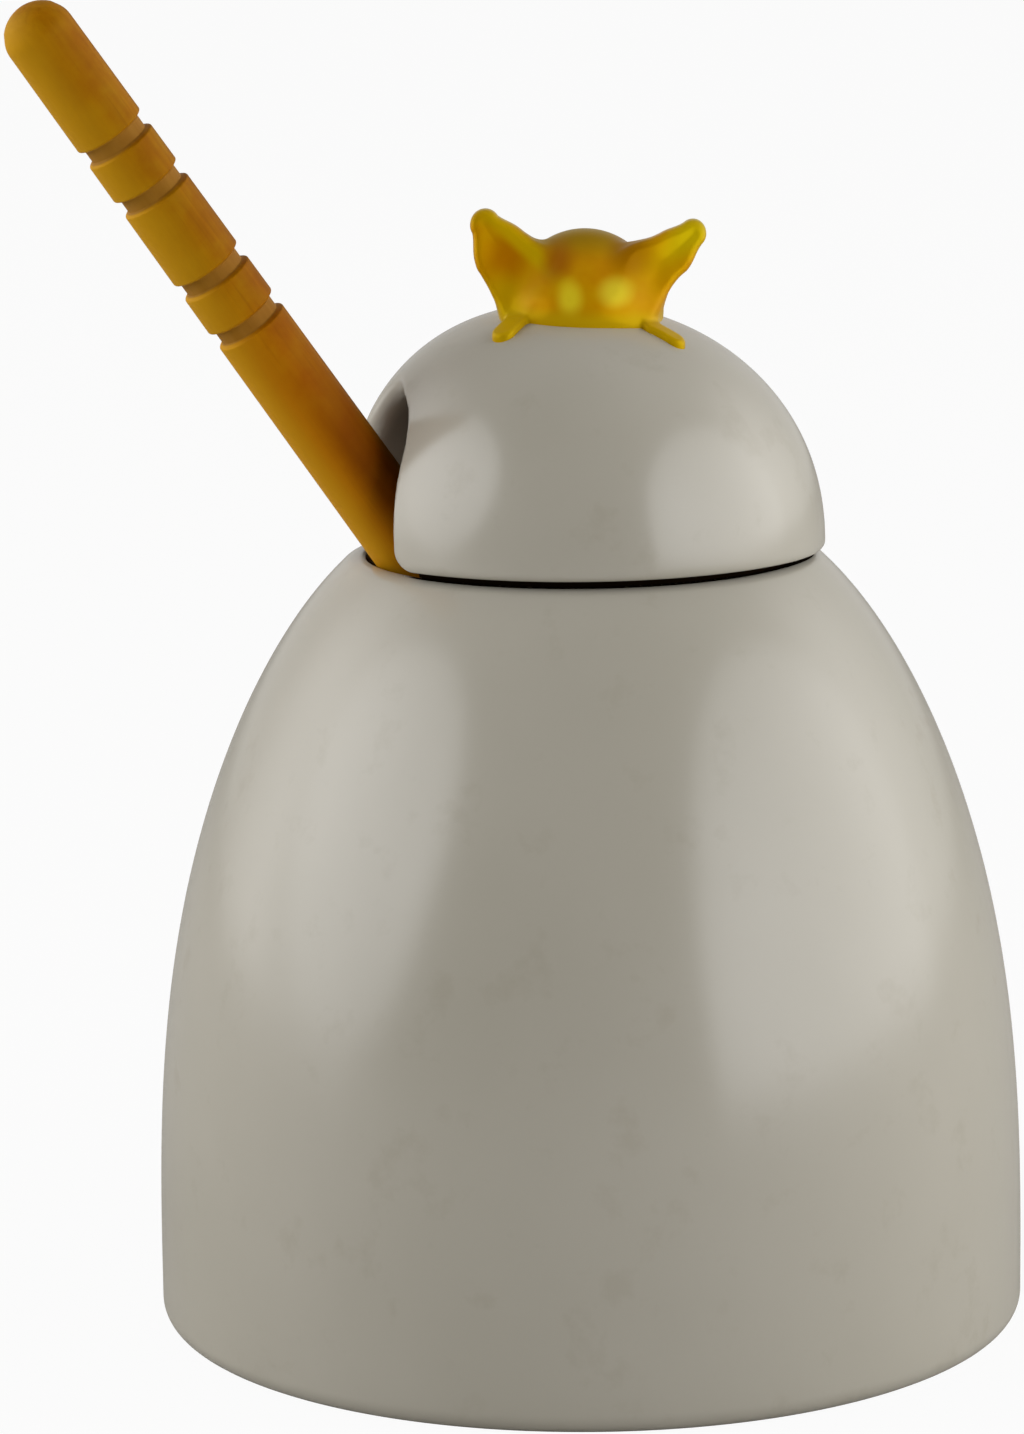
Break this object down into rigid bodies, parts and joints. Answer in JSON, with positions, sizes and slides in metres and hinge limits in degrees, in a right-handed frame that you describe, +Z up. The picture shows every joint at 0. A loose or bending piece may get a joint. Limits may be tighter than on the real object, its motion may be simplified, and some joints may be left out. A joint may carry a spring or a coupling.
{
  "type": "honey pot",
  "caption": "Domed ceramic honey jar with a lift-off lid topped by a bee figure; a grooved wooden dipper stands inside and leans out through a notch in the lid.",
  "frame": {"origin": "centre of the jar's foot, on the table", "axes": "+Z up along the jar's axis, -Y towards the front that the bee faces, dipper leaning out towards -X"},
  "size_m": [0.1171, 0.1044, 0.1598],
  "materials": {
    "off_white_glaze": "glossy off-white glaze, faintly mottled",
    "yellow_glaze": "glossy translucent amber-yellow glaze",
    "wood": "smooth oiled golden-brown wood, paler in the cut grooves"
  },
  "bodies": {
    "pot": {"pot": "off_white_glaze"},
    "lid": {"lid": "off_white_glaze", "bee_body": "yellow_glaze", "bee_wing_left": "yellow_glaze", "bee_wing_right": "yellow_glaze", "bee_leg_left": "yellow_glaze", "bee_leg_right": "yellow_glaze"},
    "dipper": {"dipper_handle": "wood", "dipper_head": "wood"}
  },
  "joints": [
    {"name": "lid_lift", "type": "slide", "parent": "pot", "child": "lid", "axis": [0, 0, 1], "range_m": [0, 0.09]},
    {"name": "dipper_pull", "type": "slide", "parent": "pot", "child": "dipper", "axis": [-0.5406, -0.1968, 0.8179], "range_m": [0, 0.06]}
  ]
}
